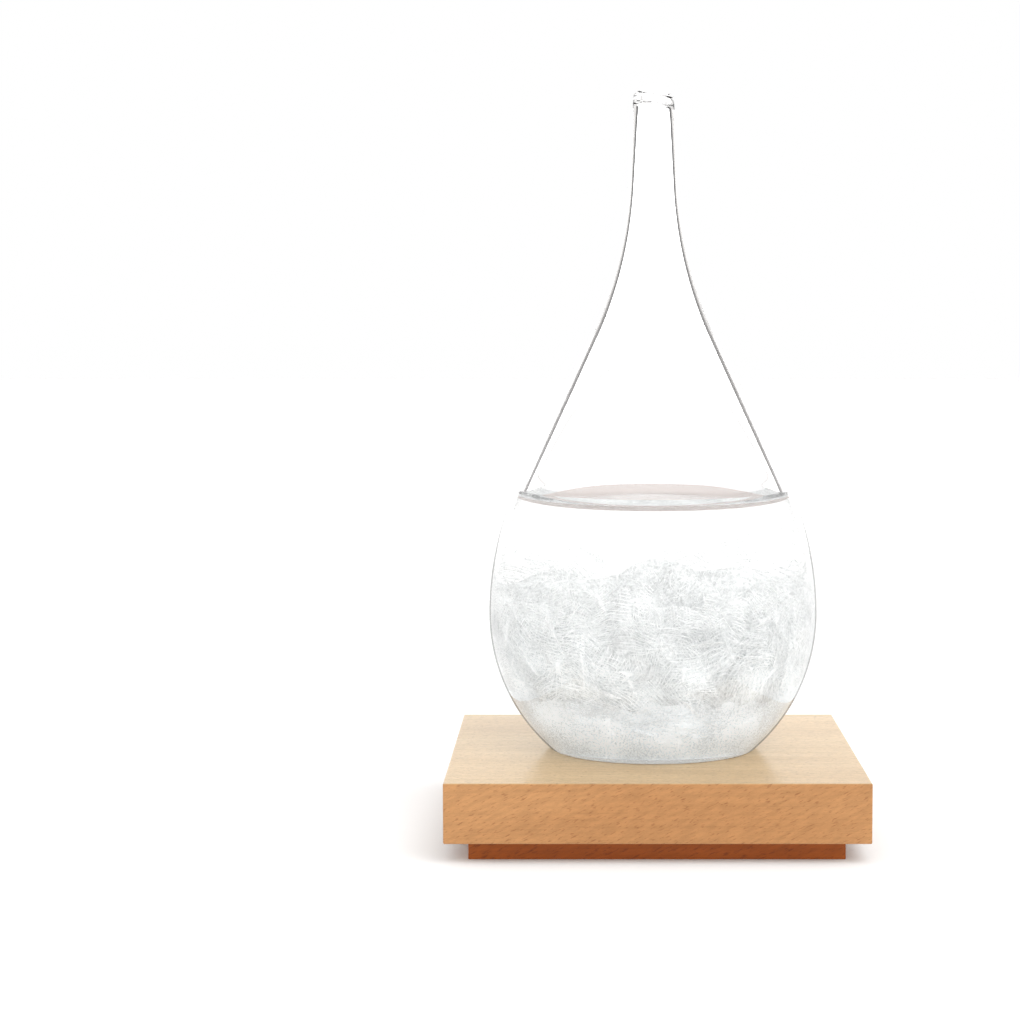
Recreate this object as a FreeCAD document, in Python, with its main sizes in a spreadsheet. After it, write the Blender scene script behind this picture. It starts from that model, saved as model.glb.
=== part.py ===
import FreeCAD, Part
import math
import os

import Sketcher

# Storm glass: a sealed, drop-shaped glass vessel that holds a liquid and white crystals and
# stands loose on a square wooden base made of a slab and a smaller foot under it.
# Millimetres, +Z up. The origin is the middle of the foot's underside.

DIMENSIONS = [
    # wooden base
    ("slab_side", 75.0, "side of the square slab"),
    ("slab_thickness", 10.7, "height of the slab"),
    ("slab_edge", 0.25, "rounding of the slab's edges"),
    ("foot_side", 66.6, "side of the square foot"),
    ("foot_thickness", 3.6, "height of the foot"),
    ("foot_edge", 0.15, "rounding of the foot's edges"),
    # outside of the glass drop, heights above the slab
    ("belly_radius", 30.75, "largest radius of the drop"),
    ("belly_height", 25.5, "height of the widest ring"),
    ("heel_arc", 1.2, "radius where the flat bottom turns up"),
    ("lower_arc", 33.9, "arc below the widest ring"),
    ("upper_arc", 57.7, "arc above the widest ring"),
    ("flank_angle", 26.4, "lean of the straight flank from vertical, degrees"),
    ("shoulder_arc", 74.4, "hollow arc from the flank into the neck"),
    ("neck_taper", 3.2, "lean of the neck from vertical, degrees"),
    ("neck_radius", 3.8, "radius of the neck under its rim"),
    ("neck_height", 122.6, "height of the highest point of the neck's rim"),
    ("rim_round", 0.8, "rounding of the rim's outer edge"),
    # thickness of the glass
    ("belly_wall", 1.6, "wall of the belly"),
    ("neck_wall", 0.65, "wall of the neck and shoulder"),
    ("floor_wall", 1.4, "glass under the liquid"),
    ("floor_arc", 3.0, "radius inside, where the floor turns up"),
    ("curl_arc", 1.2, "radius inside, where the neck draws in to its mouth"),
    ("curl_height", 121.2, "height of the top of that radius"),
    # fused glass button that closes the mouth
    ("rim_height", 121.9, "height of the slanted rim on the drop's axis"),
    ("rim_slant", 10.0, "slant of the rim, degrees, low towards +X"),
    ("rim_margin", 3.0, "how far the slice that slants the rim reaches past the neck"),
    ("seal_radius", 3.45, "largest radius of the button"),
    ("seal_offset", 0.25, "how far the button sits off the drop's axis"),
    ("seal_lip", 0.3, "radius of the button's rounded lip"),
    ("seal_rise", 2.15, "height of the button above the rim"),
    # liquid and crystals
    ("film_gap", 0.05, "space between the contents and the glass"),
    ("liquid_level", 45.9, "height of the liquid's flat surface"),
    ("meniscus_arc", 3.0, "radius of the liquid's edge"),
    ("meniscus_rise", 2.5, "how far the edge climbs the wall"),
    ("bed_height", 12.5, "height of the top of the settled crystals"),
    ("frond_width", 3.4, "width of a crystal frond at its root"),
    ("frond_thickness", 0.8, "thickness of a crystal frond"),
    ("frond_curve", 42.0, "radius of a frond's two curved edges"),
]

# One ring of crystal fronds each: root radius, tip radius, tip height and how many.
FROND_RINGS = {
    "inner": (2.5, 8.0, 38.0, 5),
    "middle": (9.5, 16.0, 39.0, 9),
    "outer": (16.5, 25.0, 36.0, 13),
}

START = 1
END = 2
CENTRE = 3
ORIGIN = (-1, START)
V_AXIS = -2

doc = FreeCAD.newDocument("storm_glass")
SIZE = {name: value for name, value, note in DIMENSIONS}


def make_sheet():
    """The spreadsheet that drives every size."""
    sheet = doc.addObject("Spreadsheet::Sheet", "dims")
    rows = list(DIMENSIONS)
    for ring, (root, tip, height, count) in FROND_RINGS.items():
        rows.append((ring + "_root", root, "root radius of the " + ring + " fronds"))
        rows.append((ring + "_tip", tip, "tip radius of the " + ring + " fronds"))
        rows.append((ring + "_height", height, "tip height of the " + ring + " fronds"))
        rows.append((ring + "_count", count, "number of " + ring + " fronds"))
    for row, (name, value, note) in enumerate(rows, 1):
        sheet.set(f"A{row}", note)
        sheet.set(f"B{row}", str(value))
        sheet.setAlias(f"B{row}", name)
    doc.recompute()


def polar(centre, radius, angle):
    """The point at an angle, in radians, on a circle."""
    return (centre[0] + radius * math.cos(angle), centre[1] + radius * math.sin(angle))


def plane(body, role):
    """One of a body's own origin planes or axes."""
    for feature in body.Origin.OriginFeatures:
        if feature.Role == role:
            return feature
    raise ValueError(role)


def make_body(label, height):
    """A body that stands at a height given by an expression."""
    body = doc.addObject("PartDesign::Body", label)
    body.Label = label
    body.setExpression("Placement.Base.z", height)
    return body


class Outline:
    """A sketch drawn as one closed run of lines and arcs, with sizes bound to the sheet."""

    def __init__(self, body, name, role="XZ_Plane"):
        self.sketch = body.newObject("Sketcher::SketchObject", name)
        self.sketch.AttachmentSupport = [(plane(body, role), "")]
        self.sketch.MapMode = "FlatFace"

    def line(self, start, end):
        """Adds a line and returns its first and last point."""
        segment = Part.LineSegment(FreeCAD.Vector(*start), FreeCAD.Vector(*end))
        index = self.sketch.addGeometry(segment)
        return (index, START), (index, END)

    def arc(self, centre, radius, first, last):
        """Adds an arc from one angle to another and returns its first and last point."""
        circle = Part.Circle(FreeCAD.Vector(*centre), FreeCAD.Vector(0, 0, 1), radius)
        index = self.sketch.addGeometry(Part.ArcOfCircle(circle, min(first, last), max(first, last)))
        ends = (index, START), (index, END)
        return ends if first < last else ends[::-1]

    def bulge(self, start, end, radius):
        """Adds an arc between two points that bulges to the right of the way it runs."""
        middle = ((start[0] + end[0]) / 2, (start[1] + end[1]) / 2)
        half = math.dist(start, end) / 2
        depth = math.sqrt(radius * radius - half * half)
        across = ((start[1] - end[1]) / 2 / half, (end[0] - start[0]) / 2 / half)
        centre = (middle[0] + across[0] * depth, middle[1] + across[1] * depth)
        first = math.atan2(start[1] - centre[1], start[0] - centre[0])
        last = math.atan2(end[1] - centre[1], end[0] - centre[0])
        if last < first:
            last += 2 * math.pi
        return self.arc(centre, radius, first, last)

    def loop(self, corners):
        """Adds a closed ring of lines and returns them, each starting at its corner."""
        sides = [self.line(a, b) for a, b in zip(corners, corners[1:] + corners[:1])]
        for one, following in zip(sides, sides[1:] + sides[:1]):
            self.corner(one[1], following[0])
        return sides

    def smooth(self, first, second):
        """Joins two ends so that one runs into the other without a corner."""
        self.sketch.addConstraint(Sketcher.Constraint("Tangent", *first, *second))

    def corner(self, first, second):
        """Joins two ends."""
        self.sketch.addConstraint(Sketcher.Constraint("Coincident", *first, *second))

    def level(self, piece):
        """Keeps a line horizontal."""
        self.sketch.addConstraint(Sketcher.Constraint("Horizontal", piece[0][0]))

    def upright(self, piece):
        """Keeps a line vertical."""
        self.sketch.addConstraint(Sketcher.Constraint("Vertical", piece[0][0]))

    def upright_pair(self, first, second):
        """Keeps one point above another."""
        self.sketch.addConstraint(Sketcher.Constraint("Vertical", *first, *second))

    def parallel(self, first, second):
        """Keeps two lines parallel."""
        self.sketch.addConstraint(Sketcher.Constraint("Parallel", first[0][0], second[0][0]))

    def same_height(self, first, second):
        """Keeps two points at one height."""
        self.sketch.addConstraint(Sketcher.Constraint("Horizontal", *first, *second))

    def same_centre(self, first, second):
        """Keeps two arcs round one centre."""
        self.corner((first[0][0], CENTRE), (second[0][0], CENTRE))

    def on_axis(self, point):
        """Keeps a point on the axis of revolution."""
        self.sketch.addConstraint(Sketcher.Constraint("PointOnObject", *point, V_AXIS))

    def bind(self, kind, parts, value, expression):
        """Adds a size and binds it to the sheet."""
        index = self.sketch.addConstraint(Sketcher.Constraint(kind, *parts, value))
        self.sketch.setExpression(f"Constraints[{index}]", expression)

    def radius(self, piece, value, expression):
        """Sets an arc's radius."""
        self.bind("Radius", (piece[0][0],), value, expression)

    def angle(self, piece, degrees, expression):
        """Sets a line's angle from horizontal."""
        self.bind("Angle", (piece[0][0],), math.radians(degrees), f"({expression}) * 1 deg")

    def across(self, point, value, expression):
        """Sets a point's distance right of the axis."""
        self.bind("DistanceX", (*ORIGIN, *point), value, expression)

    def up(self, point, value, expression):
        """Sets a point's height."""
        self.bind("DistanceY", (*ORIGIN, *point), value, expression)

    def check(self):
        """Solves the sketch and refuses one that is loose or over-constrained."""
        doc.recompute()
        if self.sketch.solve() != 0:
            raise RuntimeError(self.sketch.Name + " has no solution")
        if not self.sketch.FullyConstrained:
            raise RuntimeError(self.sketch.Name + " isn't fully constrained")
        return self.sketch


def revolve(body, sketch):
    """Turns a half section all the way round the body's upright axis."""
    feature = body.newObject("PartDesign::Revolution", sketch.Name + "_turned")
    feature.Profile = sketch
    feature.ReferenceAxis = (sketch, ["V_Axis"])
    feature.Angle = 360
    doc.recompute()
    return feature


def pad(body, sketch, length_expression, midplane=False):
    """Raises a sketch into a plate."""
    feature = body.newObject("PartDesign::Pad", sketch.Name + "_raised")
    feature.Profile = sketch
    feature.SideType = "Symmetric" if midplane else "One side"
    feature.setExpression("Length", length_expression)
    doc.recompute()
    return feature


def make_board(label, height, side, thickness, edge):
    """A square board with slightly rounded edges."""
    body = make_body(label, height)
    outline = Outline(body, label + "_outline", "XY_Plane")
    half = SIZE[side] / 2
    sides = outline.loop([(-half, -half), (half, -half), (half, half), (-half, half)])
    for one in sides[0::2]:
        outline.level(one)
    for one in sides[1::2]:
        outline.upright(one)
    outline.across(sides[1][0], half, f"dims.{side} / 2")
    outline.up(sides[2][0], half, f"dims.{side} / 2")
    outline.across(sides[0][0], -half, f"-dims.{side} / 2")
    outline.up(sides[0][0], -half, f"-dims.{side} / 2")
    plate = pad(body, outline.check(), f"dims.{thickness}")
    rounding = body.newObject("PartDesign::Fillet", label + "_edges")
    rounding.Base = plate
    rounding.UseAllEdges = True
    rounding.setExpression("Radius", f"dims.{edge}")
    return body


def shoulder_centre():
    """The centre of the hollow shoulder arc, found from the flank and the neck it joins."""
    flank = math.radians(SIZE["flank_angle"])
    taper = math.radians(SIZE["neck_taper"])
    upper = (SIZE["belly_radius"] - SIZE["upper_arc"], SIZE["belly_height"])
    neck_top = (SIZE["neck_radius"], SIZE["neck_height"] - SIZE["rim_round"])
    reach = SIZE["upper_arc"] + SIZE["shoulder_arc"]
    start = polar(upper, reach, flank)
    normal = (math.cos(taper), math.sin(taper))
    aim = polar(neck_top, SIZE["shoulder_arc"], taper)
    gap = (start[0] - aim[0]) * normal[0] + (start[1] - aim[1]) * normal[1]
    along = (-math.sin(flank), math.cos(flank))
    run = -gap / (along[0] * normal[0] + along[1] * normal[1])
    return (start[0] + run * along[0], start[1] + run * along[1])


def flank_lean(belly, belly_radius, shoulder, shoulder_radius):
    """The lean of the line that touches a belly circle and, beyond it, a shoulder circle."""
    across = shoulder[0] - belly[0]
    up = shoulder[1] - belly[1]
    reach = belly_radius + shoulder_radius
    run = math.sqrt(across * across + up * up - reach * reach)
    return math.atan2(up, across) - math.atan2(run, reach)


def belly_centres():
    """The centres of the arcs below and above the widest ring."""
    lower = (SIZE["belly_radius"] - SIZE["lower_arc"], SIZE["belly_height"])
    upper = (SIZE["belly_radius"] - SIZE["upper_arc"], SIZE["belly_height"])
    return lower, upper


def heel(base_height, heel_radius, lower_radius):
    """Where a heel arc that rests on a flat base touches the lower belly arc."""
    lower = belly_centres()[0]
    reach = lower_radius - heel_radius
    drop = lower[1] - base_height - heel_radius
    centre = (lower[0] + math.sqrt(reach * reach - drop * drop), base_height + heel_radius)
    return centre, -math.asin(drop / reach)


def draw_lower(outline, inset, inset_expression, first, last):
    """Adds the arc below the widest ring, between two angles, inset from the drop's outside."""
    centre = belly_centres()[0]
    radius = SIZE["lower_arc"] - inset
    arc = outline.arc(centre, radius, first, last)
    outline.radius(arc, radius, f"dims.lower_arc - ({inset_expression})")
    outline.across((arc[0][0], CENTRE), centre[0], "dims.belly_radius - dims.lower_arc")
    outline.up((arc[0][0], CENTRE), centre[1], "dims.belly_height")
    return arc


def draw_upper(outline, lower_arc, inset, inset_expression, last):
    """Adds the arc above the widest ring, up to an angle, smoothly after the lower one."""
    radius = SIZE["upper_arc"] - inset
    arc = outline.arc(belly_centres()[1], radius, 0, last)
    outline.radius(arc, radius, f"dims.upper_arc - ({inset_expression})")
    outline.smooth(lower_arc[1], arc[0])
    outline.same_height((lower_arc[0][0], CENTRE), (arc[0][0], CENTRE))
    return arc


def draw_bottom(outline, inset, inset_expression, base, base_expression, arc_name, last):
    """Adds a flat base from the axis, the small arc that turns up from it and the lower arc.

    Returns the base line and the lower arc.
    """
    lower_radius = SIZE["lower_arc"] - inset
    centre, turn = heel(base, SIZE[arc_name], lower_radius)
    flat = outline.line((0, base), (centre[0], base))
    heel_arc = outline.arc(centre, SIZE[arc_name], -math.pi / 2, turn)
    lower_arc = draw_lower(outline, inset, inset_expression, turn, last)
    outline.smooth(flat[1], heel_arc[0])
    outline.smooth(heel_arc[1], lower_arc[0])
    outline.level(flat)
    outline.on_axis(flat[0])
    outline.up(flat[0], base, base_expression)
    outline.radius(heel_arc, SIZE[arc_name], f"dims.{arc_name}")
    return flat, lower_arc


def draw_neck(outline, upper_arc, shoulder_radius, shoulder_expression, inset, neck_end):
    """Draws the flank, shoulder and neck that follow an upper belly arc.

    inset is the belly's. Returns the flank, shoulder arc and neck line, in order upwards.
    """
    upper = belly_centres()[1]
    belly_radius = SIZE["upper_arc"] - inset
    centre = shoulder_centre()
    lean = flank_lean(upper, belly_radius, centre, shoulder_radius)
    taper = math.radians(SIZE["neck_taper"])
    flank_start = polar(upper, belly_radius, lean)
    flank_end = polar(centre, shoulder_radius, lean + math.pi)
    neck_start = polar(centre, shoulder_radius, taper + math.pi)
    flank = outline.line(flank_start, flank_end)
    shoulder = outline.arc(centre, shoulder_radius, lean + math.pi, taper + math.pi)
    neck = outline.line(neck_start, neck_end)
    outline.smooth(upper_arc[1], flank[0])
    outline.smooth(flank[1], shoulder[0])
    outline.smooth(shoulder[1], neck[0])
    outline.radius(shoulder, shoulder_radius, shoulder_expression)
    return flank, shoulder, neck


def draw_outside(outline, rim_centre):
    """Draws the outer surface of the drop from its base up to the rounding of its rim."""
    lean = math.radians(SIZE["flank_angle"])
    base, lower = draw_bottom(outline, 0.0, "0", 0.0, "0", "heel_arc", 0)
    upper = draw_upper(outline, lower, 0.0, "0", lean)
    neck_end = polar(rim_centre, SIZE["rim_round"], math.radians(SIZE["neck_taper"]))
    flank, shoulder, neck = draw_neck(
        outline, upper, SIZE["shoulder_arc"], "dims.shoulder_arc", 0.0, neck_end
    )
    outline.angle(flank, 90 + SIZE["flank_angle"], "90 + dims.flank_angle")
    outline.angle(neck, 90 + SIZE["neck_taper"], "90 + dims.neck_taper")
    outline.across(neck[1], SIZE["neck_radius"], "dims.neck_radius")
    return base, shoulder, neck


def draw_inside(outline):
    """Draws the inner surface of the drop from its floor up to where the neck draws in."""
    wall = SIZE["belly_wall"]
    taper = math.radians(SIZE["neck_taper"])
    centre = shoulder_centre()
    radius = SIZE["shoulder_arc"] + SIZE["neck_wall"]
    lean = flank_lean(belly_centres()[1], SIZE["upper_arc"] - wall, centre, radius)
    floor, lower = draw_bottom(
        outline, wall, "dims.belly_wall", SIZE["floor_wall"], "dims.floor_wall", "floor_arc", 0
    )
    upper = draw_upper(outline, lower, wall, "dims.belly_wall", lean)
    neck_start = polar(centre, radius, taper + math.pi)
    curl_base = SIZE["curl_height"] - SIZE["curl_arc"] * (1 - math.sin(taper))
    neck_end = (neck_start[0] - (curl_base - neck_start[1]) * math.tan(taper), curl_base)
    flank, shoulder, neck = draw_neck(
        outline, upper, radius, "dims.shoulder_arc + dims.neck_wall", wall, neck_end
    )
    curl_centre = polar(neck_end, -SIZE["curl_arc"], taper)
    curl = outline.arc(curl_centre, SIZE["curl_arc"], taper, math.pi / 2)
    outline.smooth(neck[1], curl[0])
    outline.upright_pair((curl[0][0], CENTRE), curl[1])
    outline.radius(curl, SIZE["curl_arc"], "dims.curl_arc")
    outline.up(curl[1], SIZE["curl_height"], "dims.curl_height")
    return floor, shoulder, neck, curl, curl_centre[0]


def make_vessel(height):
    """The drop as an open bottle: a wall of glass turned round its axis, its rim cut slanting."""
    body = make_body("glass_vessel", height)
    outline = Outline(body, "vessel_wall")
    taper = math.radians(SIZE["neck_taper"])
    rim_top = SIZE["neck_height"]
    rim_round = SIZE["rim_round"]
    rim_centre = (SIZE["neck_radius"] - rim_round * math.cos(taper), rim_top - rim_round)
    base, shoulder, neck = draw_outside(outline, rim_centre)
    floor, inner_shoulder, inner_neck, curl, mouth_radius = draw_inside(outline)
    rim_arc = outline.arc(rim_centre, rim_round, taper, math.pi / 2)
    rim = outline.line((rim_centre[0], rim_top), (mouth_radius, rim_top))
    mouth = outline.line((mouth_radius, rim_top), (mouth_radius, SIZE["curl_height"]))
    axis = outline.line((0, SIZE["floor_wall"]), (0, 0))
    outline.smooth(neck[1], rim_arc[0])
    outline.smooth(rim_arc[1], rim[0])
    outline.corner(rim[1], mouth[0])
    outline.corner(mouth[1], curl[1])
    outline.corner(floor[0], axis[0])
    outline.corner(base[0], axis[1])
    outline.level(rim)
    outline.upright(mouth)
    outline.parallel(neck, inner_neck)
    outline.same_centre(shoulder, inner_shoulder)
    outline.radius(rim_arc, rim_round, "dims.rim_round")
    outline.up(rim[0], rim_top, "dims.neck_height")
    cut_rim(body, revolve(body, outline.check()))
    return body


def cut_rim(body, turned):
    """Takes a slanting slice off the top of the neck."""
    outline = Outline(body, "rim_slice")
    slope = math.tan(math.radians(SIZE["rim_slant"]))
    half = SIZE["neck_radius"] + SIZE["rim_margin"]
    top = SIZE["neck_height"] + SIZE["rim_margin"]
    left = (-half, SIZE["rim_height"] + half * slope)
    right = (half, SIZE["rim_height"] - half * slope)
    corners = [left, right, (half, top), (-half, top)]
    slant, right_side, lid, left_side = outline.loop(corners)
    reach = "(dims.neck_radius + dims.rim_margin)"
    outline.upright(right_side)
    outline.upright(left_side)
    outline.level(lid)
    outline.across(slant[1], half, reach)
    outline.across(slant[0], -half, f"-{reach}")
    outline.up(lid[0], top, "dims.neck_height + dims.rim_margin")
    outline.up(slant[1], right[1], f"dims.rim_height - {reach} * tan(dims.rim_slant * 1 deg)")
    outline.up(slant[0], left[1], f"dims.rim_height + {reach} * tan(dims.rim_slant * 1 deg)")
    before = turned.Shape.Volume
    cut = body.newObject("PartDesign::Pocket", "rim_cut")
    cut.Profile = outline.check()
    cut.SideType = "Symmetric"
    cut.setExpression("Length", f"4 * {reach}")
    doc.recompute()
    if not cut.Shape.Volume < before:
        raise RuntimeError("the rim cut removed nothing")


def make_seal(height):
    """The fused button of glass that closes the neck, slanted like the rim that it sits on."""
    body = doc.addObject("PartDesign::Body", "neck_seal")
    body.Label = "neck_seal"
    slant = FreeCAD.Rotation(FreeCAD.Vector(0, 1, 0), SIZE["rim_slant"])
    body.Placement = FreeCAD.Placement(FreeCAD.Vector(), slant)
    body.setExpression("Placement.Rotation.Angle", "dims.rim_slant * 1 deg")
    body.setExpression("Placement.Base.x", "dims.seal_offset")
    drop = "dims.seal_offset * tan(dims.rim_slant * 1 deg)"
    body.setExpression("Placement.Base.z", f"{height} + dims.rim_height - {drop}")
    outline = Outline(body, "seal_section")
    lip = SIZE["seal_lip"]
    edge = SIZE["seal_radius"] - lip
    rise = SIZE["seal_rise"] - lip
    dome_radius = (edge * edge + rise * rise - lip * lip) / (2 * (rise - lip))
    dome_centre = (0, SIZE["seal_rise"] - dome_radius)
    turn = math.atan2(lip - dome_centre[1], edge)
    underside = outline.line((0, 0), (edge, 0))
    lip_arc = outline.arc((edge, lip), lip, -math.pi / 2, turn)
    dome = outline.arc(dome_centre, dome_radius, turn, math.pi / 2)
    axis = outline.line((0, SIZE["seal_rise"]), (0, 0))
    outline.smooth(underside[1], lip_arc[0])
    outline.smooth(lip_arc[1], dome[0])
    outline.corner(dome[1], axis[0])
    outline.corner(underside[0], axis[1])
    outline.corner(underside[0], ORIGIN)
    outline.level(underside)
    outline.upright(axis)
    outline.on_axis((dome[0][0], CENTRE))
    outline.across(underside[1], edge, "dims.seal_radius - dims.seal_lip")
    outline.radius(lip_arc, lip, "dims.seal_lip")
    outline.up(axis[0], SIZE["seal_rise"], "dims.seal_rise")
    revolve(body, outline.check())
    return body


def bed_turn(inset):
    """The angle on the lower arc at which the top of the crystal bed meets the glass."""
    drop = SIZE["belly_height"] - SIZE["bed_height"]
    return -math.asin(drop / (SIZE["lower_arc"] - inset))


def make_bed(height):
    """The fine crystals that have settled on the floor of the drop."""
    body = make_body("crystal_bed", height)
    outline = Outline(body, "bed_section")
    inset = SIZE["belly_wall"] + SIZE["film_gap"]
    base = SIZE["floor_wall"] + SIZE["film_gap"]
    turn = bed_turn(inset)
    wall_point = polar(belly_centres()[0], SIZE["lower_arc"] - inset, turn)
    floor, lower = draw_bottom(
        outline, inset, "dims.belly_wall + dims.film_gap",
        base, "dims.floor_wall + dims.film_gap", "floor_arc", turn,
    )
    top = outline.line(wall_point, (0, SIZE["bed_height"]))
    axis = outline.line((0, SIZE["bed_height"]), (0, base))
    outline.corner(lower[1], top[0])
    outline.corner(top[1], axis[0])
    outline.corner(axis[1], floor[0])
    outline.level(top)
    outline.upright(axis)
    outline.up(top[0], SIZE["bed_height"], "dims.bed_height")
    revolve(body, outline.check())
    return body


def draw_frond(outline, ring):
    """Draws one frond: a pointed leaf that leans outwards from its root on the crystal bed."""
    root, tip, height, count = FROND_RINGS[ring]
    bed = SIZE["bed_height"]
    inner = (root, bed)
    outer = (root + SIZE["frond_width"], bed)
    point = (tip, height)
    foot = outline.line(inner, outer)
    back = outline.bulge(outer, point, SIZE["frond_curve"])
    front = outline.bulge(point, inner, SIZE["frond_curve"])
    outline.corner(foot[1], back[0])
    outline.corner(back[1], front[0])
    outline.corner(front[1], foot[0])
    outline.level(foot)
    outline.across(foot[0], root, f"dims.{ring}_root")
    outline.up(foot[0], bed, "dims.bed_height")
    outline.across(foot[1], outer[0], f"dims.{ring}_root + dims.frond_width")
    outline.across(back[1], tip, f"dims.{ring}_tip")
    outline.up(back[1], height, f"dims.{ring}_height")
    outline.radius(back, SIZE["frond_curve"], "dims.frond_curve")
    outline.radius(front, SIZE["frond_curve"], "dims.frond_curve")
    return outline.check()


def make_fronds(height):
    """The feathery crystals: rings of thin upright leaves, each its own solid."""
    body = make_body("crystal_feathers", height)
    body.AllowCompound = True
    for ring in FROND_RINGS:
        sketch = draw_frond(Outline(body, ring + "_frond"), ring)
        frond = pad(body, sketch, "dims.frond_thickness", True)
        pattern = body.newObject("PartDesign::PolarPattern", ring + "_ring")
        pattern.Originals = [frond]
        pattern.Axis = (sketch, ["V_Axis"])
        pattern.Angle = 360
        pattern.setExpression("Occurrences", f"dims.{ring}_count")
        body.Tip = pattern
        doc.recompute()
    return body


def make_liquid(height, fronds):
    """The liquid from the top of the crystal bed to its surface, less the fronds in it."""
    body = make_body("liquid_column", height)
    outline = Outline(body, "liquid_section")
    inset = SIZE["belly_wall"] + SIZE["film_gap"]
    gap = "dims.belly_wall + dims.film_gap"
    lower_centre, upper_centre = belly_centres()
    start = bed_turn(inset)
    bed_edge = polar(lower_centre, SIZE["lower_arc"] - inset, start)
    level = SIZE["liquid_level"]
    climb = SIZE["meniscus_rise"]
    arc_radius = SIZE["meniscus_arc"]
    turn = math.acos((arc_radius - climb) / arc_radius)
    last = math.asin((level + climb - upper_centre[1]) / (SIZE["upper_arc"] - inset))
    wall_point = polar(upper_centre, SIZE["upper_arc"] - inset, last)
    edge_centre = (wall_point[0] - arc_radius * math.sin(turn), level + arc_radius)
    base = outline.line((0, SIZE["bed_height"]), bed_edge)
    lower = draw_lower(outline, inset, gap, start, 0)
    upper = draw_upper(outline, lower, inset, gap, last)
    meniscus = outline.arc(edge_centre, arc_radius, turn - math.pi / 2, -math.pi / 2)
    surface = outline.line((edge_centre[0], level), (0, level))
    axis = outline.line((0, level), (0, SIZE["bed_height"]))
    outline.corner(base[1], lower[0])
    outline.corner(upper[1], meniscus[0])
    outline.smooth(meniscus[1], surface[0])
    outline.corner(surface[1], axis[0])
    outline.corner(axis[1], base[0])
    outline.level(base)
    outline.level(surface)
    outline.upright(axis)
    outline.on_axis(base[0])
    outline.up(base[0], SIZE["bed_height"], "dims.bed_height")
    outline.up(surface[0], level, "dims.liquid_level")
    outline.up(upper[1], level + climb, "dims.liquid_level + dims.meniscus_rise")
    outline.radius(meniscus, arc_radius, "dims.meniscus_arc")
    revolve(body, outline.check())
    liquid = doc.addObject("Part::Cut", "storm_liquid")
    liquid.Label = "storm_liquid"
    liquid.Base = body
    liquid.Tool = fronds
    return liquid


def check_document():
    """Refuses a document in which any object failed."""
    for item in doc.Objects:
        if "Invalid" in item.State or "Error" in item.State:
            raise RuntimeError(f"{item.Name} is {item.State}")


def export(pieces):
    """Writes each piece to a file named after its label."""
    os.makedirs("parts", exist_ok=True)
    for piece in pieces:
        if piece.Shape.isNull() or not piece.Shape.isValid():
            raise RuntimeError(piece.Label + " has no valid shape")
    for piece in pieces:
        piece.Shape.exportStep(f"parts/{piece.Label}.step")
        solids = len(piece.Shape.Solids)
        print(f"{piece.Label}: {solids} solid(s), {piece.Shape.Volume:.1f} mm3")


make_sheet()
slab_top = "dims.foot_thickness + dims.slab_thickness"
foot = make_board("base_foot", "0", "foot_side", "foot_thickness", "foot_edge")
slab = make_board(
    "base_slab", "dims.foot_thickness", "slab_side", "slab_thickness", "slab_edge"
)
vessel = make_vessel(slab_top)
seal = make_seal(slab_top)
bed = make_bed(slab_top)
feathers = make_fronds(slab_top)
liquid = make_liquid(slab_top, feathers)
doc.recompute()
check_document()
export([foot, slab, vessel, seal, bed, feathers, liquid])
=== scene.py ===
import math
import random

import bmesh
import bpy
from mathutils import Matrix, Quaternion, Vector
from mathutils import noise as mnoise


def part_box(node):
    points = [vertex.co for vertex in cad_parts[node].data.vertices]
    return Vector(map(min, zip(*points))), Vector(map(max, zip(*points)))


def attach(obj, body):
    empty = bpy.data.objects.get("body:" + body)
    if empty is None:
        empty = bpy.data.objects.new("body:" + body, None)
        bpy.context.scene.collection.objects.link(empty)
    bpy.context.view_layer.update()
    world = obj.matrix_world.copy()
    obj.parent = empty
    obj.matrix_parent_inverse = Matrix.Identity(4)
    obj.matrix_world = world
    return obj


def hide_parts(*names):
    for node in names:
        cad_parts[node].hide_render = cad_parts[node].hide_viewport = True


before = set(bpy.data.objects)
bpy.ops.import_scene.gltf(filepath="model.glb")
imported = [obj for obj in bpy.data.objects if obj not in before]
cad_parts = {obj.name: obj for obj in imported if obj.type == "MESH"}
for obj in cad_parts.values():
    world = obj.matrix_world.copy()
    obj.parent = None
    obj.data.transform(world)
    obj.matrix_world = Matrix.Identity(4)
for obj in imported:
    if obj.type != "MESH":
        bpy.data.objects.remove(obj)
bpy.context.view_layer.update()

# A storm glass on its wooden base: a sealed glass drop, the liquid and crystals in it, a slab and
# a foot. Metres, +Z up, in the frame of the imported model.

MM = 0.001

# ---------------------------------------------------------------- sizes

vessel_low, vessel_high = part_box("glass_vessel")
SLAB_TOP = vessel_low.z
BELLY_RADIUS = vessel_high.x

# outside of the drop, heights above the slab's top
BELLY_HEIGHT = 25.5 * MM
HEEL_ARC = 1.2 * MM
LOWER_ARC = 33.9 * MM
UPPER_ARC = 57.7 * MM
FLANK_ANGLE = math.radians(26.4)
SHOULDER_ARC = 74.4 * MM
NECK_TAPER = math.radians(3.2)
NECK_RADIUS = 3.8 * MM
NECK_HEIGHT = vessel_high.z - SLAB_TOP
RIM_ROUND = 0.8 * MM

# thickness of the glass
BELLY_WALL = 1.6 * MM
NECK_WALL = 0.65 * MM
FLOOR_WALL = 1.4 * MM
FLOOR_ARC = 3.0 * MM
CURL_ARC = 1.2 * MM
CURL_HEIGHT = 121.2 * MM

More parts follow.
